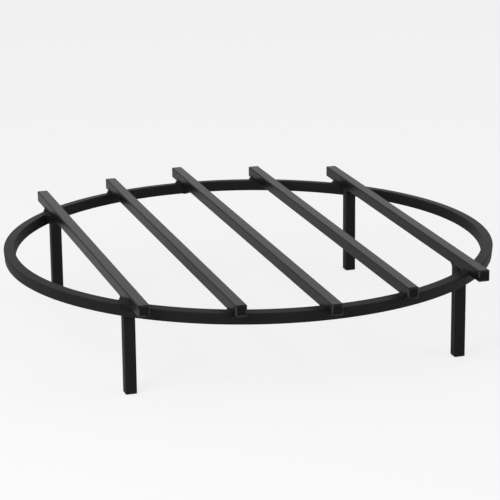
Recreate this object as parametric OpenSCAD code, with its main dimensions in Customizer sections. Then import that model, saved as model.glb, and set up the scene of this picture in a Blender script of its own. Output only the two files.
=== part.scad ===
// Round log grate of welded square bar: one rolled ring, five bars laid across it, four legs inside it.
// The origin is on the ground under the middle of the ring. The bars run along Y, X is to the right.

/* [Square bar] */
// Width and height of the bar that every piece is cut from
bar = 12.7; // [10:0.1:16]
// Radius of the bar's rolled long edges
edge_r = 1; // [0.5:0.1:1.5]
// Radius left on the sawn ends by deburring
end_r = 0.8; // [0.4:0.1:1.2]

/* [Ring] */
// Outer diameter of the ring
ring_d = 563; // [540:1:760]
// Width of the gap that the ring's closing weld fills
seam_gap = 2.4; // [1.6:0.1:3]

/* [Bars] */
// Distance between the middles of neighbouring bars
bar_pitch = 94.5; // [80:0.5:108]
// How far the middle bar reaches past the ring at each end
middle_overhang = 27; // [10:1:60]
// How far the two bars beside it reach past the ring
inner_overhang = 15; // [10:1:60]
// How far the two outer bars reach past the ring
outer_overhang = 39; // [10:1:60]

/* [Legs] */
// Length of a leg, from the ground to the underside of the bars
leg_h = 106; // [60:1:200]
// Gap left between a leg's outermost corner and the ring, which the welds bridge
leg_fit = 0.5; // [0.2:0.1:1]

/* [Welds] */
// Radius of the bead beside a bar where it crosses the ring
bead_r = 4.4; // [3:0.1:5]
// Radius of the one heavy bead, at the front of the outer left bar
heavy_bead_r = 6; // [4:0.1:7]
// Radius of the upright beads between a leg and the ring
leg_bead_r = 3.2; // [2.5:0.1:3.6]
// Distance from one ripple of a bead to the next
ripple = 2.3; // [1.6:0.1:3]
// Share by which the ripples of a bead differ in size
ripple_spread = 0.06; // [0:0.01:0.1]

/* [Hidden] */
$fn = 64;

ring_r = ring_d / 2;
ring_in_r = ring_r - bar;
ring_mid_r = ring_r - bar / 2;
ring_top = leg_h;
half = bar / 2;

// A bead's axis lies this far off both faces that it joins, which makes the bead convex
bead_lift = 0.4;
// Gap left between the two upright beads at a leg's corner, on each side of the corner
leg_bead_gap = 0.7;
// Half the width of the core under a bar that a weld doesn't reach into, short of where the rolled edge meets the ring
core_half = half - edge_r / 2;
// Radius of the ripples that cap the ring's closing weld
seam_cap_r = 4;
// How far those caps stand proud of the bar's faces
seam_proud = 1;
// Larger than the grate, for cutting
far = 2 * ring_d;

// Place of a leg's middle: under an outer bar, with its outermost corner just inside the ring
leg_x = 2 * bar_pitch;
corner = half - edge_r;
leg_y = sqrt(pow(ring_in_r - leg_fit - edge_r, 2) - pow(leg_x + corner, 2)) - corner;

seam_angle = 90;
seam_half_angle = asin(seam_gap / 2 / ring_mid_r);

paint = [0.12, 0.12, 0.12];
weld_paint = [0.17, 0.17, 0.17];

// Half the length of the line that a circle of radius r cuts at distance x from the middle
function half_chord(r, x) = sqrt(r * r - x * x);

// Overhang of a bar, by its place counted from the middle one
function overhang(place) = [middle_overhang, inner_overhang, outer_overhang][abs(place)];
function bar_x(place) = place * bar_pitch;
function bar_length(place) = 2 * (half_chord(ring_r, bar_x(place)) + overhang(place));

// ---- shapes of the bar ----

module rounded_rectangle(w, h, r) {
    square([w - 2 * r, h], center = true);
    square([w, h - 2 * r], center = true);
    for (x = [-1, 1], y = [-1, 1])
        translate([x * (w / 2 - r), y * (h / 2 - r)]) circle(r);
}

// Bar as it is rolled, along Z, with rounded long edges
module rolled_bar(length) {
    linear_extrude(length, center = true) rounded_rectangle(bar, bar, edge_r);
}

// A cut length of bar along Z, with deburred ends
module cut_bar(length) {
    intersection() {
        rolled_bar(length);
        end_rounding(length);
        rotate([0, 0, 90]) end_rounding(length);
    }
}

// The outline that rounds two opposite edges of each end
module end_rounding(length) {
    rotate([90, 0, 0])
        linear_extrude(2 * bar, center = true) rounded_rectangle(bar, length, end_r);
}

module grate_bar(place) {
    color(paint)
        translate([bar_x(place), 0, ring_top + half])
            rotate([90, 0, 0]) cut_bar(bar_length(place));
}

module leg(side, end) {
    color(paint)
        translate([side * leg_x, end * leg_y, leg_h / 2]) cut_bar(leg_h);
}

// The ring's bar bent round, from one angle through a sweep
module bent_bar(start, sweep) {
    translate([0, 0, ring_top - half])
        rotate([0, 0, start])
            rotate_extrude(angle = sweep, $fn = 180)
                translate([ring_mid_r, 0]) rounded_rectangle(bar, bar, edge_r);
}

module whole_ring() {
    bent_bar(0, 360);
}

// ---- shapes of the welds ----

// Radius of a bead's ripple, uneven in the way that hand welding is
function ripple_r(r, i, seed) = r * (1 + ripple_spread * sin(137 * i + 71 * seed));

// A rippled bead along Z: a row of overlapping rounds, turned about the bead's axis
module bead(length, r, seed) {
    count = max(1, floor(length / ripple));
    step = length / count;
    rotate_extrude()
        intersection() {
            union() {
                for (i = [0:count])
                    translate([0, i * step - length / 2]) circle(ripple_r(r, i, seed));
            }
            translate([0, -far / 2]) square([far / 2, far]);
        }
}

// The two beads where a bar crosses the ring, one on each side of the bar.
// They lie on the ring's top, run out before its inner edge and wrap over its outer edge.
module crossing_beads(place, end, r) {
    for (side = [-1, 1]) {
        x = bar_x(place) + side * (half + bead_lift);
        slant = half_chord(ring_r, x) / ring_r;
        y_start = half_chord(ring_in_r, x) + r / slant;
        y_stop = half_chord(ring_r, x) - edge_r;
        length = y_stop - y_start;
        translate([x, end * (y_start + y_stop) / 2, ring_top + bead_lift])
            rotate([90, 0, 0]) bead(length, r, place + 3 * end + 7 * side);
    }
}

// What a crossing's beads are seated on along the bar: its rolled outline, with a core under it
module bar_seat(place) {
    translate([bar_x(place), 0, ring_top + half])
        rotate([90, 0, 0])
            linear_extrude(far, center = true) {
                rounded_rectangle(bar, bar, edge_r);
                translate([-core_half, -2 * bar]) square([2 * core_half, 2 * bar]);
            }
}

// What they are seated on across the ring: its top and outside, filled in towards the middle
module ring_seat() {
    translate([0, 0, ring_top - half])
        rotate_extrude($fn = 180) {
            translate([ring_mid_r, 0]) rounded_rectangle(bar, bar, edge_r);
            translate([0, -half]) square([ring_mid_r, bar]);
        }
}

module crossing_weld(place, end, r = bead_r) {
    color(weld_paint)
        difference() {
            crossing_beads(place, end, r);
            bar_seat(place);
            ring_seat();
        }
}

// The fillet under the bar on the leg's inner side, and an upright bead on each outer side of the leg
module leg_beads(side, end) {
    translate([side * leg_x, end * (leg_y - half - bead_lift), ring_top - bead_lift])
        rotate([0, 90, 0]) bead(bar - 2 * bead_r, bead_r, 2 * side + end);
    upright = bar - 2 * edge_r - 2 * leg_bead_r;
    inset = half - leg_bead_r - leg_bead_gap;
    translate([side * (leg_x + half), end * (leg_y + inset), ring_top - half])
        bead(upright, leg_bead_r, side + 5 * end);
    translate([side * (leg_x + inset), end * (leg_y + half), ring_top - half])
        bead(upright, leg_bead_r, side + 9 * end);
}

module leg_weld(side, end) {
    color(weld_paint)
        difference() {
            leg_beads(side, end);
            leg(side, end);
            whole_ring();
            translate([-far / 2, -far / 2, ring_top]) cube([far, far, bar]);
        }
}

// ---- sub-parts ----

module ring() {
    color(paint)
        bent_bar(seam_angle + seam_half_angle, 360 - 2 * seam_half_angle);
}

// The closing weld fills the gap in the ring and stands proud outside, inside and underneath
module ring_seam_weld() {
    sunk = seam_cap_r - seam_proud;
    length = bar - 2 * seam_cap_r;
    color(weld_paint)
        difference() {
            union() {
                bent_bar(seam_angle - seam_half_angle, 2 * seam_half_angle);
                translate([0, ring_r - sunk, ring_top - half]) bead(length, seam_cap_r, 2);
                translate([0, ring_in_r + sunk, ring_top - half]) bead(length, seam_cap_r, 5);
                translate([0, ring_mid_r, ring_top - bar + sunk]) rotate([90, 0, 0]) bead(length, seam_cap_r, 8);
            }
            ring();
        }
}

module bar_outer_left() grate_bar(-2);
module bar_inner_left() grate_bar(-1);
module bar_middle() grate_bar(0);
module bar_inner_right() grate_bar(1);
module bar_outer_right() grate_bar(2);

module leg_front_left() leg(-1, -1);
module leg_front_right() leg(1, -1);
module leg_back_left() leg(-1, 1);
module leg_back_right() leg(1, 1);

module weld_outer_left_front() crossing_weld(-2, -1, heavy_bead_r);
module weld_outer_left_back() crossing_weld(-2, 1);
module weld_inner_left_front() crossing_weld(-1, -1);
module weld_inner_left_back() crossing_weld(-1, 1);
module weld_middle_front() crossing_weld(0, -1);
module weld_middle_back() crossing_weld(0, 1);
module weld_inner_right_front() crossing_weld(1, -1);
module weld_inner_right_back() crossing_weld(1, 1);
module weld_outer_right_front() crossing_weld(2, -1);
module weld_outer_right_back() crossing_weld(2, 1);

module weld_leg_front_left() leg_weld(-1, -1);
module weld_leg_front_right() leg_weld(1, -1);
module weld_leg_back_left() leg_weld(-1, 1);
module weld_leg_back_right() leg_weld(1, 1);

ring();
ring_seam_weld();
bar_outer_left();
bar_inner_left();
bar_middle();
bar_inner_right();
bar_outer_right();
leg_front_left();
leg_front_right();
leg_back_left();
leg_back_right();
weld_outer_left_front();
weld_outer_left_back();
weld_inner_left_front();
weld_inner_left_back();
weld_middle_front();
weld_middle_back();
weld_inner_right_front();
weld_inner_right_back();
weld_outer_right_front();
weld_outer_right_back();
weld_leg_front_left();
weld_leg_front_right();
weld_leg_back_left();
weld_leg_back_right();
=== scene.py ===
"""The looks of a round steel log grate: rolled square bar, hand-laid weld metal and satin black paint.

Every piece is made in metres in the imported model's own frame: the ring's middle is over the origin, the bars
run along Y, and the feet stand on the floor at height 0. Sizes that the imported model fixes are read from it.
"""

import math

import bpy
from mathutils import Matrix, Vector


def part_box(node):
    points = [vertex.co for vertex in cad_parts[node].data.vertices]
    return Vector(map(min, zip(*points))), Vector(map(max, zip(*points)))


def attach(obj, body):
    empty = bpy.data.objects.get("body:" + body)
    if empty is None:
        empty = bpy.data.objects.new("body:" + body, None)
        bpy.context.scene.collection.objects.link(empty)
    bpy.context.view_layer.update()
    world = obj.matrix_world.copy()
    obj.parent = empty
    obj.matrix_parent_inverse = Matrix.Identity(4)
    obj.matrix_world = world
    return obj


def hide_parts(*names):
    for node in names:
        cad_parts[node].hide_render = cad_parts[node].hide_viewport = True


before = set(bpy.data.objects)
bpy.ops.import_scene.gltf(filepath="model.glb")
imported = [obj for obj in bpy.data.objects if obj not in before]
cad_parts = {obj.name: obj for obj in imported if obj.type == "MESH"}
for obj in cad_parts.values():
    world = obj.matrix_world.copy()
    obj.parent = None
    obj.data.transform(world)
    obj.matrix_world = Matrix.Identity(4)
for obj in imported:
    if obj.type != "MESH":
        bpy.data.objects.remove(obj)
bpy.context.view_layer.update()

MM = 0.001

# ------------------------------------------------------------------ sizes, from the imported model

RING_LOW, RING_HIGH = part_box("ring")
BAR = RING_HIGH.z - RING_LOW.z
HALF = BAR / 2
RING_TOP = RING_HIGH.z
RING_OUT = RING_HIGH.x
RING_IN = RING_OUT - BAR
BAR_TOP = RING_TOP + BAR

BAR_PLACES = ("outer_left", "inner_left", "middle", "inner_right", "outer_right")
LEG_CORNERS = ("front_left", "front_right", "back_left", "back_right")
ENDS = {"front": -1, "back": 1}

# ------------------------------------------------------------------ sizes that only the bar's looks need

# The rounding of the bar's long edges and of its sawn ends' edges, and the gap that the closing weld fills
EDGE_ROUND = 1.15 * MM
SAWN_ROUND = 1.1 * MM
SEAM_GAP = 2.4 * MM

# The ring's bar twisted a little as it was rolled, so its section leans outwards and takes more room. It
# lies lower too, so that the corner that the lean lifts sinks only a quarter of a millimetre into the bars
RING_LEAN = math.radians(5.1)
RING_DROP = 0.2 * MM
LEAN_ROOM = (HALF - EDGE_ROUND) * (math.cos(RING_LEAN) + math.sin(RING_LEAN) - 1)
RING_MID = RING_OUT - HALF - LEAN_ROOM
RING_HEIGHT = RING_TOP - HALF - RING_DROP

# How finely a bar is divided: over a rounded edge, over a flat face, along its length and just past its end
ARC_STEPS = 6
FLAT_PLACES = (0.03, 0.12, 0.3, 0.5, 0.7, 0.88, 0.97)
STATION_PITCH = 4 * MM
PAST_ROUNDING = 0.4 * MM

# A sawn end's face: where its rings of points lie, and how far its middle stands proud
CAP_SHARES = (0.03, 0.35, 0.65, 0.83)
CAP_CROWN = 0.01 * MM

# The faint waves that rolling leaves on the faces
WAVE_DEPTH = 0.05 * MM
WAVE_LENGTH = 30 * MM

# ------------------------------------------------------------------ sizes that only the welds' looks need

# A weld's leg is how far it reaches along each of its two surfaces
WELD_LEG = 3.8 * MM
HEAVY_WELD_LEG = 5.8 * MM
HEAVY_CROSSING = ("outer_left", "front")
LEG_WELD_LEG = 4.6 * MM

# The upright welds beside a leg are this many times as thick, and thin out again on the leg's left and right
UPRIGHT_GAIN = 2.1
SIDE_UPRIGHT_TAPER = 1.0

# The closing weld: half of its width, how proud it stands, how steeply it deepens in the gap, to fill the
# whole section there, and how many times its crescents' bend goes into the bar's half width
SEAM_CAP_HALF = 4.0 * MM
SEAM_PROUD = 0.5 * MM
SEAM_STEEPNESS = 20
SEAM_BENDS_IN_HALF = 3

# A weld's face lies between a flat one and a rounded one, which reaches less far, and blends into its toes
CROWN_REACH = 0.8
CROWN_SHARE = 0.4
TOE_BLEND = 0.35

# The crescents that the arc leaves, and the unevenness of a hand-laid weld
RIPPLE_PITCH = 2.2 * MM
RIPPLE_DEPTH = 0.22 * MM
CRESCENT_BEND = 0.5
UNEVENNESS = 0.2
UNEVEN_PITCH = 7 * MM
NOISE_DETAIL = 2.0

# How deep a weld is fused in, and how far under the steel's surface it lies where it has run out
FUSED_DEPTH = 1.2 * MM
SUNK = 0.02 * MM

# Where the welds start and stop, and how fast they thin out there
UNDER_BAR_START = 0.5 * MM
UNDER_BAR_TAPER = 0.5
WELD_START = 6.0 * MM
START_TAPER = 0.6
LEG_FILLET_INSET = 1.2 * MM
LEG_WELD_TAPER = 1.5
UPRIGHT_STOP = 0.5 * MM

# The grid on which a weld is found: its fineness, how many weld legs its box reaches past the bar, how far
# it reaches inside the ring, its cells before they are set, and under how many points metal is a speck
WELD_GRID = 0.3 * MM
BOX_LEGS = 1.3
BOX_INSIDE_RING = 1 * MM
UNSET_CELLS = 64
CRUMB_POINTS = 400

# Each piece's noise has a seed of its own
RING_SEED = 1
CLOSING_WELD_SEED = 2
FIRST_BAR_SEED = 10
FIRST_LEG_SEED = 20
FIRST_LEG_WELD_SEED = 30
FIRST_CROSSING_SEED = 40

# ------------------------------------------------------------------ values of the paint

# Each coat: its darkest and palest black, its smoothest and roughest satin, and the depth of its orange peel
SATIN_COAT = {"dark": 0.004, "pale": 0.009, "smooth": 0.26, "rough": 0.34, "orange_peel": 0.012 * MM}
FLATTER_COAT = {"dark": 0.008, "pale": 0.014, "smooth": 0.48, "rough": 0.58, "orange_peel": 0.012 * MM}
WELD_COAT = {"dark": 0.002, "pale": 0.009, "smooth": 0.55, "rough": 0.65, "orange_peel": 0.02 * MM}
PAINT_GLOSS = 0.085

# How far apart the spraying's clouds, the orange peel's dimples and the flatting powder's grains lie, how
# detailed they are, and their shares in the black, the satin and the relief
CLOUD_PITCH = 18 * MM
PEEL_PITCH = 1.6 * MM
GRAIN_PITCH = 0.35 * MM
CLOUD_DETAIL = 3.0
FINE_DETAIL = 2.0
CLOUD_IN_BLACK = 0.6
CLOUD_IN_SATIN = 0.5
PEEL_IN_RELIEF = 0.8

# How rough the paint dries where its film is thin, and the share of this on a bar's long edges
DRY_EDGE = 0.75
LONG_EDGE_DRYNESS = 0.3

# The paler edge of a sawn end, partly paint rubbed thin and partly a painted glint, which leaves the top edge
# dark: its shade, the size of its patches, the noise at which they begin, how sharp their borders are, and how
# far under the bar's top they are whole
WEAR_AND_GLINT_SHADE = 0.045
WEAR_AND_GLINT_PATCH = 6 * MM
WEAR_AND_GLINT_FROM = 0.3
WEAR_AND_GLINT_SHARPNESS = 4
GLINT_BELOW_TOP = 2 * MM

# ------------------------------------------------------------------ values of the floor, light and camera

# How pale the floor is, the share of plain white in what the camera sees of it, and its reach in metres
FLOOR_SHADE = 0.9
FLOOR_GLOW = 0.75
FLOOR_REACH = 12

# The level of the light that falls on things from all round, and of the white that is seen round them
WORLD_LIGHT = 0.5
SEEN_WHITE = 1.0

# Each lamp: its spot and what it points at in metres, the length of its side, and its power in watts
LAMPS = {
    "soft_box_left": {"spot": (-2.2, -1.0, 1.6), "aim": (0, 0, 0.1), "size": 1.6, "power": 20},
    "soft_box_near": {"spot": (-1.0, -1.1, 0.9), "aim": (-0.25, -0.35, 0.0), "size": 0.7, "power": 6},
    "soft_box_right": {"spot": (2.2, -1.6, 1.8), "aim": (0, 0, 0.1), "size": 1.6, "power": 15},
}

# The camera: its spot and its furthest sight in metres, its angles in degrees, and its lens in millimetres
CAMERA_SPOT = Vector((-0.70605, -2.2822, 0.78472))
CAMERA_SIGHT = 50
CAMERA_TURN = -17.2403
CAMERA_HEIGHT_ANGLE = 16.1712
CAMERA_ROLL = -0.5793
CAMERA_LENS = 154.483
CAMERA_SENSOR = 36

# ------------------------------------------------------------------ node trees written as sums


class Term:
    """A number that a node tree works out, so that its rule can be written as a sum."""

    def __init__(self, tree, socket):
        self.tree = tree
        self.socket = socket

    def __add__(self, other):
        return worked_out("ADD", self, other)

    def __sub__(self, other):
        return worked_out("SUBTRACT", self, other)

    def __rsub__(self, other):
        return worked_out("SUBTRACT", other, self)

    def __mul__(self, other):
        return worked_out("MULTIPLY", self, other)

    def __truediv__(self, other):
        return worked_out("DIVIDE", self, other)

    def __rtruediv__(self, other):
        return worked_out("DIVIDE", other, self)

    def __neg__(self):
        return worked_out("MULTIPLY", self, -1)

    __radd__ = __add__
    __rmul__ = __mul__


def worked_out(operation, *terms):
    """The result of one operation, as a new node in the terms' own tree."""
    tree = next(term.tree for term in terms if isinstance(term, Term))
    node = tree.nodes.new("ShaderNodeMath")
    node.operation = operation
    for term, socket in zip(terms, node.inputs):
        feed(tree, term, socket)
    return Term(tree, node.outputs[0])


def feed(tree, value, socket):
    """Links a term or a socket to a node's input, or sets the input to a plain value."""
    if isinstance(value, Term):
        tree.links.new(value.socket, socket)
    elif isinstance(value, bpy.types.NodeSocket):
        tree.links.new(value, socket)
    else:
        socket.default_value = value


def greater(a, b):
    return worked_out("MAXIMUM", a, b)


def lesser(a, b):
    return worked_out("MINIMUM", a, b)


def size_of(a):
    return worked_out("ABSOLUTE", a)


def over(a, limit=0):
    """How far a is over a limit, and 0 where it isn't."""
    return greater(a - limit, 0)


def line_length(a, b):
    """The length of the line whose sides are a and b."""
    return worked_out("SQRT", a * a + b * b)


def add_node(tree, kind, values=(), **settings):
    """A new node with its settings, and its inputs fed by name."""
    node = tree.nodes.new(kind)
    for name, value in settings.items():
        setattr(node, name, value)
    for name, value in dict(values).items():
        feed(tree, value, node.inputs[name])
    return node


SOCKETS = {float: "NodeSocketFloat", int: "NodeSocketInt", tuple: "NodeSocketVector"}


def new_geometry_tree(name, inputs, takes_mesh=False):
    """A tree with named inputs for its sizes; returns it and its inputs as terms."""
    tree = bpy.data.node_groups.new(name, "GeometryNodeTree")
    tree.interface.new_socket("Geometry", in_out="OUTPUT", socket_type="NodeSocketGeometry")
    if takes_mesh:
        tree.interface.new_socket("Geometry", in_out="INPUT", socket_type="NodeSocketGeometry")
    for label, start in inputs.items():
        socket = tree.interface.new_socket(label, in_out="INPUT", socket_type=SOCKETS[type(start)])
        socket.default_value = start
    tree.interface.new_socket("Material", in_out="INPUT", socket_type="NodeSocketMaterial")
    given = tree.nodes.new("NodeGroupInput")
    return tree, {s.name: Term(tree, s) for s in given.outputs if s.name}


def end_tree(tree, geometry, material):
    """Realises what the tree made, shades it smooth, gives it its material and hands it out."""
    solid = add_node(tree, "GeometryNodeRealizeInstances", {"Geometry": geometry})
    smooth = add_node(tree, "GeometryNodeSetShadeSmooth", {"Geometry": solid.outputs[0]})
    coat = {"Geometry": smooth.outputs[0], "Material": material}
    painted = add_node(tree, "GeometryNodeSetMaterial", coat)
    out = tree.nodes.new("NodeGroupOutput")
    tree.links.new(painted.outputs[0], out.inputs[0])


def run_tree(name, tree, inputs, start=None):
    """Runs a tree with the given inputs, on a start mesh if it takes one, and returns a plain mesh.

    The maker, with its modifier, is removed again, and so is an empty material slot in front of the paint.
    """
    maker = bpy.data.objects.new(name, start or bpy.data.meshes.new(name))
    bpy.context.scene.collection.objects.link(maker)
    modifier = maker.modifiers.new("maker", "NODES")
    modifier.node_group = tree
    sockets = {s.name: s.identifier for s in tree.interface.items_tree if s.in_out == "INPUT"}
    for label, value in inputs.items():
        modifier[sockets[label]] = value
    shaped = maker.evaluated_get(bpy.context.evaluated_depsgraph_get())
    mesh = bpy.data.meshes.new_from_object(shaped)
    bpy.data.objects.remove(maker)
    mesh.name = name
    while mesh.materials and mesh.materials[0] is None:
        mesh.materials.pop(index=0)
    return mesh


def place_terms(tree):
    """The x, y and z of each point."""
    position = tree.nodes.new("GeometryNodeInputPosition")
    split = add_node(tree, "ShaderNodeSeparateXYZ", {"Vector": position.outputs[0]})
    return [Term(tree, socket) for socket in split.outputs]


def noise(tree, pitch, seed):
    """Smooth noise from 0 to 1 over the object, whose bumps lie about a pitch apart."""
    position = tree.nodes.new("GeometryNodeInputPosition")
    values = {"Vector": position.outputs[0], "W": seed, "Scale": 1 / pitch, "Detail": NOISE_DETAIL}
    node = add_node(tree, "ShaderNodeTexNoise", values, noise_dimensions="4D")
    return Term(tree, node.outputs[0])


# ------------------------------------------------------------------ rolled square bar


def squared_outline(width, edge, lean=0):
    """Points round a square section, turned by its lean, each with 1 on a rounded corner and 0 on a face."""
    reach = width / 2 - edge
    points = []
    for turn in range(4):
        quarter = Matrix.Rotation(math.radians(90 * turn) + lean, 2)
        for step in range(ARC_STEPS + 1):
            angle = math.radians(90 * step / ARC_STEPS)
            corner = Vector((reach + edge * math.cos(angle), reach + edge * math.sin(angle)))
            points.append((quarter @ corner, 1.0))
        for share in FLAT_PLACES:
            points.append((quarter @ Vector((reach * (1 - 2 * share), reach + edge)), 0.0))
    return points


def end_stations(width, rounding):
    """(distance from the sawn end, share of the full section, 1 on its rounded edge) over the end face."""
    half = width / 2
    face = (half - rounding) / half
    stations = [(CAP_CROWN * share, face * share, 0) for share in CAP_SHARES]
    for step in range(ARC_STEPS + 1):
        angle = math.radians(90 * step / ARC_STEPS)
        depth = CAP_CROWN + rounding * (1 - math.cos(angle))
        stations.append((depth, 1 - rounding * (1 - math.sin(angle)) / half, 1))
    stations.append((rounding + PAST_ROUNDING, 1, 0))
    return stations


def bar_stations(length, width, rounding):
    """Stations from one end of a cut length of bar to the other."""
    start = end_stations(width, rounding)
    first = start[-1][0]
    inner = length - 2 * first
    count = round(inner / STATION_PITCH)
    middle = [(first + inner * step / count, 1, 0) for step in range(1, count)]
    return start + middle + [(length - place, share, sawn) for place, share, sawn in reversed(start)]


def sweep_mesh(name, path, outline):
    """A mesh that holds the path's line and the section's loop, told apart by an attribute."""
    mesh = bpy.data.meshes.new(name)
    line = [point for point, share, sawn in path]
    loop = [(point.x, point.y, 0) for point, corner in outline]
    first = len(line)
    edges = [(i, i + 1) for i in range(first - 1)]
    edges += [(first + i, first + (i + 1) % len(loop)) for i in range(len(loop))]
    mesh.from_pydata(line + loop, edges, [])
    carry(mesh, "share", [share for point, share, sawn in path] + [1.0] * len(loop))
    carry(mesh, "sawn", [sawn for point, share, sawn in path] + [0.0] * len(loop))
    carry(mesh, "section", [0.0] * first + [1.0] * len(loop))
    carry(mesh, "rounded", [0.0] * first + [corner for point, corner in outline])
    return mesh


def carry(mesh, name, values):
    """Gives each point of a mesh a number under that name."""
    mesh.attributes.new(name, "FLOAT", "POINT").data.foreach_set("value", values)


def carried(tree, name):
    """A number that each point of the mesh carries under that name."""
    node = add_node(tree, "GeometryNodeInputNamedAttribute", {"Name": name}, data_type="FLOAT")
    return Term(tree, node.outputs[0])


def rolled_bar_tree():
    """Sweeps a section along a line and gives its faces the faint waves that rolling leaves."""
    sizes = {"Wave depth": WAVE_DEPTH, "Wave length": WAVE_LENGTH, "Seed": 0.0}
    tree, given = new_geometry_tree("rolled_bar", sizes, takes_mesh=True)
    is_section = worked_out("GREATER_THAN", carried(tree, "section"), 0.5)
    parts = add_node(
        tree, "GeometryNodeSeparateGeometry", {"Geometry": given["Geometry"], "Selection": is_section}
    )
    loop = add_node(tree, "GeometryNodeMeshToCurve", {"Mesh": parts.outputs["Selection"]})
    section = add_node(
        tree,
        "GeometryNodeStoreNamedAttribute",
        {"Geometry": loop.outputs[0], "Name": "edge", "Value": carried(tree, "rounded")},
        data_type="FLOAT",
    )
    line = add_node(tree, "GeometryNodeMeshToCurve", {"Mesh": parts.outputs["Inverted"]})
    upright = add_node(tree, "GeometryNodeSetCurveNormal", {"Curve": line.outputs[0]}, mode="Z_UP")
    swept = add_node(
        tree,
        "GeometryNodeCurveToMesh",
        {
            "Curve": upright.outputs[0],
            "Profile Curve": section.outputs[0],
            "Scale": carried(tree, "share"),
            "Fill Caps": True,
        },
    )
    wave = noise(tree, given["Wave length"], given["Seed"]) * given["Wave depth"]
    normal = tree.nodes.new("GeometryNodeInputNormal")
    inwards = add_node(
        tree, "ShaderNodeVectorMath", {"Vector": normal.outputs[0], "Scale": -wave}, operation="SCALE"
    )
    waved = add_node(
        tree, "GeometryNodeSetPosition", {"Geometry": swept.outputs[0], "Offset": inwards.outputs[0]}
    )
    end_tree(tree, waved.outputs[0], given["Material"])
    return tree


def rolled_bar(name, path, seed, paint, lean=0):
    """A length of square bar along a path, with its section turned to the path."""
    start = sweep_mesh(name, path, squared_outline(BAR, EDGE_ROUND, lean))
    sizes = {"Wave depth": WAVE_DEPTH, "Wave length": WAVE_LENGTH, "Seed": seed, "Material": paint}
    return put_in_scene(name, run_tree(name, ROLLED_BAR, sizes, start))


def put_in_scene(name, mesh):
    """An object that holds a mesh, at the origin."""
    piece = bpy.data.objects.new(name, mesh)
    bpy.context.scene.collection.objects.link(piece)
    return piece


def straight_path(node):
    """The stations of a straight bar or leg, along the longest side of its node's box."""
    low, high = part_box(node)
    size = high - low
    long_way = max(range(3), key=lambda axis: size[axis])
    middle = (low + high) / 2
    path = []
    for place, share, sawn in bar_stations(size[long_way], BAR, SAWN_ROUND):
        point = middle.copy()
        point[long_way] = low[long_way] + place
        path.append((point, share, sawn))
    return path


def ring_path():
    """The ring's stations, from one side of its closing gap right round to the other."""
    gap_turn = SEAM_GAP / 2 / RING_MID
    sweep = 2 * (math.pi - gap_turn)
    count = round(sweep * RING_MID / STATION_PITCH)
    start = math.radians(90) + gap_turn
    path = []
    for step in range(count + 1):
        angle = start + sweep * step / count
        point = Vector((RING_MID * math.cos(angle), RING_MID * math.sin(angle), RING_HEIGHT))
        path.append((point, 1, 0))
    return path


# ------------------------------------------------------------------ weld metal


def section_distance(a, b):
    """How far a point is from a square bar's surface, from its two offsets to the bar's middle."""
    over_a = size_of(a) - (HALF - EDGE_ROUND)
    over_b = size_of(b) - (HALF - EDGE_ROUND)
    outside = line_length(over(over_a), over(over_b))
    inside = lesser(greater(over_a, over_b), 0)
    return outside + inside - EDGE_ROUND


def ring_section(radial, z):
    """A point's two offsets from the middle of the ring's leaning bar, along its top and along its side."""
    outwards = radial - RING_MID
    upwards = z - RING_HEIGHT
    along_top = outwards * math.cos(RING_LEAN) - upwards * math.sin(RING_LEAN)
    along_side = outwards * math.sin(RING_LEAN) + upwards * math.cos(RING_LEAN)
    return along_top, along_side


def soft_lesser(a, b, blend):
    """The lesser of two distances, with the corner between them rounded off."""
    overlap = over(blend - size_of(a - b)) / blend
    return lesser(a, b) - overlap * overlap * blend / 4


def weld_metal(a, b, along, taper, given, tree):
    """A fillet weld between two surfaces that lie a and b away, as a distance that is under 0 inside it.

    Its face is nearly flat, with the crescents that the arc leaves one after the other, and its toes run out
    softly on both surfaces. It is fused a little way into each. The taper, in metres, thins it where it
    starts and stops.
    """
    uneven = noise(tree, UNEVEN_PITCH, given["Seed"])
    leg = given["Weld leg"] * (1 + UNEVENNESS * (uneven - 0.5))
    mitre = (a + b - leg) * math.sqrt(0.5)
    crown = line_length(over(a), over(b)) - leg * CROWN_REACH
    face = mitre * (1 - CROWN_SHARE) + crown * CROWN_SHARE + taper
    sideways = (a - b) / leg
    crescent = along + sideways * sideways * leg * CRESCENT_BEND + uneven * given["Ripple pitch"]
    stage = worked_out("FRACT", crescent / given["Ripple pitch"]) * 2 - 1
    ripple = (1 - stage * stage) * given["Ripple depth"]
    toe = leg * TOE_BLEND
    surface = soft_lesser(lesser(a, b), face - ripple, toe) + SUNK
    buried = greater(-FUSED_DEPTH - a, -FUSED_DEPTH - b)
    return greater(greater(surface, face - toe), buried)


def without_crumbs(tree, mesh):
    """The mesh without the specks of metal that stand apart from the weld."""
    island = tree.nodes.new("GeometryNodeInputMeshIsland")
    group = {"Group ID": island.outputs["Island Index"]}
    points = add_node(tree, "GeometryNodeAccumulateField", group, data_type="INT")
    few = worked_out("LESS_THAN", Term(tree, points.outputs["Total"]), CRUMB_POINTS)
    whole = add_node(tree, "GeometryNodeDeleteGeometry", {"Geometry": mesh, "Selection": few})
    return whole.outputs[0]


def filled(tree, given, inside):
    """The mesh round every place where the distance is under 0, found on a fine grid."""
    block = add_node(
        tree,
        "GeometryNodeVolumeCube",
        {
            "Density": -inside,
            "Background": -1,
            "Min": given["Low corner"],
            "Max": given["High corner"],
            "Resolution X": given["Cells X"],
            "Resolution Y": given["Cells Y"],
            "Resolution Z": given["Cells Z"],
        },
    )
    mesh = add_node(tree, "GeometryNodeVolumeToMesh", {"Volume": block.outputs[0], "Threshold": 0})
    end_tree(tree, without_crumbs(tree, mesh.outputs[0]), given["Material"])


# What every weld's tree takes, with the values that it has before they are set
WELD_INPUTS = {
    "Low corner": (0.0, 0.0, 0.0),
    "High corner": (1.0, 1.0, 1.0),
    "Cells X": UNSET_CELLS,
    "Cells Y": UNSET_CELLS,
    "Cells Z": UNSET_CELLS,
    "Weld leg": WELD_LEG,
    "Ripple pitch": RIPPLE_PITCH,
    "Ripple depth": RIPPLE_DEPTH,
    "Seed": 0.0,
}


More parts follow.
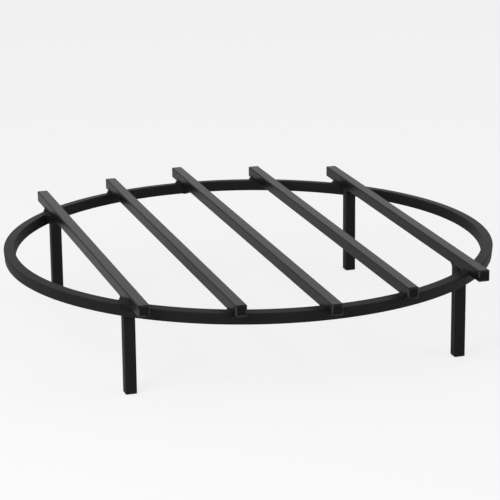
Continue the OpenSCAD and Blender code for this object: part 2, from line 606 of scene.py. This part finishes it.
def crossing_weld_tree():
    """The two welds along a bar's sides where it crosses the ring."""
    tree, given = new_geometry_tree("crossing_weld", {**WELD_INPUTS, "Bar middle": 0.0, "Outwards": 1.0})
    x, y, z = place_terms(tree)
    across = x - given["Bar middle"]
    radial = line_length(x, y)
    to_bar = section_distance(across, z - (RING_TOP + HALF))
    to_ring = section_distance(*ring_section(radial, z))
    under_bar = over(HALF - UNDER_BAR_START - size_of(across)) * UNDER_BAR_TAPER
    at_start = over(RING_IN + WELD_START - radial) * START_TAPER
    along = y * given["Outwards"]
    inside = weld_metal(to_bar, to_ring, along, under_bar + at_start, given, tree)
    filled(tree, given, inside)
    return tree


def leg_weld_tree():
    """A leg's welds: one on its inner face, under the bar, and one up each outer face, to the ring."""
    inputs = {**WELD_INPUTS, "Leg x": 0.0, "Leg y": 0.0, "Outwards": 1.0}
    tree, given = new_geometry_tree("leg_weld", inputs)
    x, y, z = place_terms(tree)
    across = x - given["Leg x"]
    outwards = (y - given["Leg y"]) * given["Outwards"]
    radial = line_length(x, y)
    to_leg = section_distance(across, y - given["Leg y"])
    to_bar = section_distance(across, z - (RING_TOP + HALF))
    to_ring = section_distance(*ring_section(radial, z))

    beside = over(size_of(across), HALF - LEG_FILLET_INSET) * LEG_WELD_TAPER
    outside = over(outwards, -HALF) * LEG_WELD_TAPER
    fillet = weld_metal(to_leg, to_bar, x, beside + outside, given, tree)

    over_top = over(z, RING_TOP - UPRIGHT_STOP) * LEG_WELD_TAPER
    under_ring = over(RING_TOP - BAR + WELD_START - z) * LEG_WELD_TAPER
    on_side = over(size_of(across), HALF) * SIDE_UPRIGHT_TAPER
    thicker = {**given, "Weld leg": given["Weld leg"] * UPRIGHT_GAIN}
    upright = weld_metal(to_leg, to_ring, z, over_top + under_ring + on_side, thicker, tree)
    filled(tree, given, lesser(fillet, upright))
    return tree


def closing_weld_tree():
    """The weld that closes the ring: it fills the gap and stands proud outside, inside and underneath."""
    inputs = {**WELD_INPUTS, "Cap half width": SEAM_CAP_HALF, "Gap": SEAM_GAP}
    tree, given = new_geometry_tree("closing_weld", inputs)
    x, y, z = place_terms(tree)
    outwards, upwards = ring_section(line_length(x, y), z)
    to_ring = section_distance(outwards, upwards)
    share = x / given["Cap half width"]
    round_section = worked_out("ARCTAN2", upwards, outwards) * HALF
    crescent = round_section + share * share * HALF / SEAM_BENDS_IN_HALF
    stage = worked_out("FRACT", crescent / given["Ripple pitch"]) * 2 - 1
    ripple = (1 - stage * stage) * given["Ripple depth"] * (1 - share * share)
    cap = (1 - share * share) * SEAM_PROUD + ripple - SUNK
    in_gap = over(given["Gap"] / 2 + SUNK - size_of(x)) * SEAM_STEEPNESS
    inside = greater(greater(to_ring - cap, z - RING_TOP + SUNK), -FUSED_DEPTH - to_ring - in_gap)
    filled(tree, given, greater(inside, size_of(x) - given["Cap half width"]))
    return tree


def weld_piece(name, tree, low, high, seed, sizes):
    """Weld metal inside a box, on a grid of the same fineness everywhere."""
    cells = [math.ceil((high[axis] - low[axis]) / WELD_GRID) for axis in range(3)]
    counts = {"Cells " + letter: count for letter, count in zip("XYZ", cells)}
    box = {"Low corner": tuple(low), "High corner": tuple(high)}
    inputs = {**box, **counts, "Seed": float(seed), "Material": WELD_PAINT, **sizes}
    return put_in_scene(name, run_tree(name, tree, inputs))


def half_chord(radius, offset):
    """How far along Y a circle round the origin reaches at an offset in X."""
    return math.sqrt(radius * radius - offset * offset)


def crossing_weld(place, end, seed):
    """Both welds of one crossing, in a box round the corners between the bar and the ring."""
    bar_low, bar_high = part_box("bar_" + place)
    middle = (bar_low.x + bar_high.x) / 2
    leg = HEAVY_WELD_LEG if (place, end) == HEAVY_CROSSING else WELD_LEG
    reach = leg * BOX_LEGS
    room = HALF + reach
    near = max(0, abs(middle) - room)
    far = abs(middle) + room
    ys = (half_chord(RING_IN, far) - BOX_INSIDE_RING, half_chord(RING_OUT, near) + reach)
    outwards = ENDS[end]
    low_y, high_y = sorted(y * outwards for y in ys)
    low = (middle - room, low_y, RING_TOP - reach)
    high = (middle + room, high_y, RING_TOP + reach)
    sizes = {"Bar middle": middle, "Outwards": float(outwards), "Weld leg": leg}
    return weld_piece(f"{place}_{end}_weld_metal", CROSSING_WELD, low, high, seed, sizes)


def leg_weld(corner, seed):
    """The welds at the top of one leg."""
    leg_low, leg_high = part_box("leg_" + corner)
    middle = (leg_low + leg_high) / 2
    room = HALF + LEG_WELD_LEG * UPRIGHT_GAIN * BOX_LEGS
    low = (middle.x - room, middle.y - room, RING_TOP - BAR - LEG_WELD_LEG)
    high = (middle.x + room, middle.y + room, RING_TOP + FUSED_DEPTH + WELD_GRID)
    outwards = math.copysign(1, middle.y)
    sizes = {"Leg x": middle.x, "Leg y": middle.y, "Outwards": outwards, "Weld leg": LEG_WELD_LEG}
    return weld_piece(f"{corner}_leg_weld_metal", LEG_WELD, low, high, seed, sizes)


def closing_weld(seed):
    """The ring's closing weld, at the back."""
    room = SEAM_PROUD + RIPPLE_DEPTH + WELD_GRID * 2
    low = (-SEAM_CAP_HALF - WELD_GRID, RING_IN - room, RING_TOP - BAR - room)
    high = (SEAM_CAP_HALF + WELD_GRID, RING_OUT + room, RING_TOP + WELD_GRID)
    return weld_piece("ring_closing_weld", CLOSING_WELD, low, high, seed, {})


# ------------------------------------------------------------------ paint


def new_material(name):
    """A material with an empty node tree and its output node."""
    material = bpy.data.materials.new(name)
    material.use_nodes = True
    tree = material.node_tree
    tree.nodes.clear()
    return material, tree, tree.nodes.new("ShaderNodeOutputMaterial")


def speckle(tree, pitch, detail):
    """Noise from 0 to 1 in the paint, whose grains lie about a pitch apart."""
    place = tree.nodes.new("ShaderNodeTexCoord")
    values = {"Vector": place.outputs["Object"], "Scale": 1 / pitch, "Detail": detail}
    node = add_node(tree, "ShaderNodeTexNoise", values)
    return Term(tree, node.outputs[0])


def between(a, share, b):
    """A value that goes from a to b as share goes from 0 to 1."""
    return share * (b - a) + a


def painted_on(tree, name):
    """A number that a bar's points carry, as the paint reads it, and 0 on weld metal, which carries none."""
    node = add_node(tree, "ShaderNodeAttribute", attribute_name=name)
    return Term(tree, node.outputs["Fac"])


def wear_and_painted_glint(tree):
    """Paint rubbed thin and a painted glint on a sawn end's edge: up to 1 there, and 0 at the bar's top."""
    place = tree.nodes.new("ShaderNodeTexCoord")
    split = add_node(tree, "ShaderNodeSeparateXYZ", {"Vector": place.outputs["Object"]})
    below_top = lesser(over(BAR_TOP - Term(tree, split.outputs["Z"])) / GLINT_BELOW_TOP, 1)
    patches = speckle(tree, WEAR_AND_GLINT_PATCH, CLOUD_DETAIL)
    patchy = lesser(over(patches, WEAR_AND_GLINT_FROM) * WEAR_AND_GLINT_SHARPNESS, 1)
    return painted_on(tree, "sawn") * below_top * patchy


def satin_paint(name, dark, pale, smooth, rough, orange_peel):
    """Satin black high-heat paint: an uneven black, faint orange peel and the grain of its flatting powder.

    It dries rougher on a bar's edges, where its film is thin, and its sawn ends' edges carry rubbing and a
    painted glint.
    """
    material, tree, output = new_material(name)
    cloud = speckle(tree, CLOUD_PITCH, CLOUD_DETAIL)
    grain = speckle(tree, GRAIN_PITCH, FINE_DETAIL)
    peel = speckle(tree, PEEL_PITCH, FINE_DETAIL)
    black = between(dark, cloud * CLOUD_IN_BLACK + grain * (1 - CLOUD_IN_BLACK), pale)
    # Painted glint: a sawn end's edges below the bar's top are made paler, partly as paint rubbed thin
    level = between(black, wear_and_painted_glint(tree), WEAR_AND_GLINT_SHADE)
    shade = add_node(tree, "ShaderNodeCombineColor", {"Red": level, "Green": level, "Blue": level})
    height = peel * PEEL_IN_RELIEF + grain * (1 - PEEL_IN_RELIEF)
    bump = add_node(tree, "ShaderNodeBump", {"Height": height, "Strength": 1.0, "Distance": orange_peel})
    satin = between(smooth, cloud * CLOUD_IN_SATIN + grain * (1 - CLOUD_IN_SATIN), rough)
    dryness = greater(painted_on(tree, "edge") * LONG_EDGE_DRYNESS, painted_on(tree, "sawn"))
    shader = add_node(
        tree,
        "ShaderNodeBsdfPrincipled",
        {
            "Base Color": shade.outputs[0],
            "Roughness": between(satin, dryness, DRY_EDGE),
            "Specular IOR Level": PAINT_GLOSS,
            "Normal": bump.outputs[0],
        },
    )
    tree.links.new(shader.outputs[0], output.inputs[0])
    return material


# ------------------------------------------------------------------ floor, light and camera


def ray_is(tree, *kinds):
    """1 for rays of the given kinds, and 0 for all others, such as the light that falls on things."""
    path = tree.nodes.new("ShaderNodeLightPath")
    share = Term(tree, path.outputs[kinds[0]])
    for kind in kinds[1:]:
        share = greater(share, Term(tree, path.outputs[kind]))
    return share


def studio_floor():
    """A wide pale floor, nearly white to the eye, that keeps the object's soft shadow."""
    material, tree, output = new_material("studio_floor")
    matte = add_node(tree, "ShaderNodeBsdfDiffuse", {"Color": (FLOOR_SHADE, FLOOR_SHADE, FLOOR_SHADE, 1)})
    glow = add_node(tree, "ShaderNodeEmission", {"Strength": SEEN_WHITE})
    share = ray_is(tree, "Is Camera Ray") * FLOOR_GLOW
    mixed = add_node(tree, "ShaderNodeMixShader", {"Fac": share})
    tree.links.new(matte.outputs[0], mixed.inputs[1])
    tree.links.new(glow.outputs[0], mixed.inputs[2])
    tree.links.new(mixed.outputs[0], output.inputs[0])
    mesh = bpy.data.meshes.new("studio_floor")
    reach = FLOOR_REACH
    corners = [(-reach, -reach, 0), (reach, -reach, 0), (reach, reach, 0), (-reach, reach, 0)]
    mesh.from_pydata(corners, [], [(0, 1, 2, 3)])
    mesh.materials.append(material)
    floor = put_in_scene("studio_floor", mesh)


def studio_world():
    """White all round to the eye and in gloss, and a softer level for the light that falls on things."""
    world = bpy.data.worlds.new("studio")
    bpy.context.scene.world = world
    world.use_nodes = True
    tree = world.node_tree
    background = tree.nodes["Background"]
    background.inputs["Color"].default_value = (1, 1, 1, 1)
    seen = ray_is(tree, "Is Camera Ray", "Is Glossy Ray", "Is Transmission Ray")
    level = between(WORLD_LIGHT, seen, SEEN_WHITE)
    feed(tree, level, background.inputs["Strength"])


def soft_box(name, spot, aim, size, power):
    """A square area lamp that points at a spot."""
    lamp = bpy.data.lights.new(name, "AREA")
    lamp.shape = "SQUARE"
    lamp.size = size
    lamp.energy = power
    box = bpy.data.objects.new(name, lamp)
    box.location = spot
    box.rotation_euler = (Vector(aim) - Vector(spot)).to_track_quat("-Z", "Y").to_euler()
    bpy.context.scene.collection.objects.link(box)


def photo_camera():
    """The camera where the photograph was taken from: its spot, turn, tilt down and small roll."""
    data = bpy.data.cameras.new("camera")
    data.sensor_width = CAMERA_SENSOR
    data.lens = CAMERA_LENS
    data.clip_end = CAMERA_SIGHT
    camera = bpy.data.objects.new("camera", data)
    turn = Matrix.Rotation(math.radians(CAMERA_TURN), 4, "Z")
    tilt = Matrix.Rotation(math.radians(90 - CAMERA_HEIGHT_ANGLE), 4, "X")
    roll = Matrix.Rotation(math.radians(CAMERA_ROLL), 4, "Z")
    camera.matrix_world = Matrix.Translation(CAMERA_SPOT) @ turn @ tilt @ roll
    bpy.context.scene.collection.objects.link(camera)
    bpy.context.scene.camera = camera


# ------------------------------------------------------------------ the object


def stand_for(piece, node):
    """The piece rides on the grate and is shown in place of its node."""
    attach(piece, "root")
    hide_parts(node)


def make_grate():
    """Every piece of the grate, each in place of its node."""
    ring = rolled_bar("rolled_ring", ring_path(), RING_SEED, LOWER_PAINT, RING_LEAN)
    stand_for(ring, "ring")
    for seed, place in enumerate(BAR_PLACES, FIRST_BAR_SEED):
        bar = rolled_bar(place + "_bar", straight_path("bar_" + place), seed, BAR_PAINT)
        stand_for(bar, "bar_" + place)
    for number, corner in enumerate(LEG_CORNERS):
        leg_seed = FIRST_LEG_SEED + number
        leg = rolled_bar(corner + "_leg", straight_path("leg_" + corner), leg_seed, LOWER_PAINT)
        stand_for(leg, "leg_" + corner)
        weld = leg_weld(corner, FIRST_LEG_WELD_SEED + number)
        stand_for(weld, "weld_leg_" + corner)
    stand_for(closing_weld(CLOSING_WELD_SEED), "ring_seam_weld")
    crossings = [(place, end) for place in BAR_PLACES for end in ENDS]
    for seed, (place, end) in enumerate(crossings, FIRST_CROSSING_SEED):
        stand_for(crossing_weld(place, end, seed), f"weld_{place}_{end}")


bpy.context.scene.view_settings.view_transform = "Standard"
BAR_PAINT = satin_paint("satin_black_paint", **SATIN_COAT)
LOWER_PAINT = satin_paint("flatter_black_paint_below", **FLATTER_COAT)
WELD_PAINT = satin_paint("satin_black_paint_on_weld", **WELD_COAT)
ROLLED_BAR = rolled_bar_tree()
CROSSING_WELD = crossing_weld_tree()
LEG_WELD = leg_weld_tree()
CLOSING_WELD = closing_weld_tree()
make_grate()
studio_floor()
studio_world()
for lamp_name, lamp_values in LAMPS.items():
    soft_box(lamp_name, **lamp_values)
photo_camera()
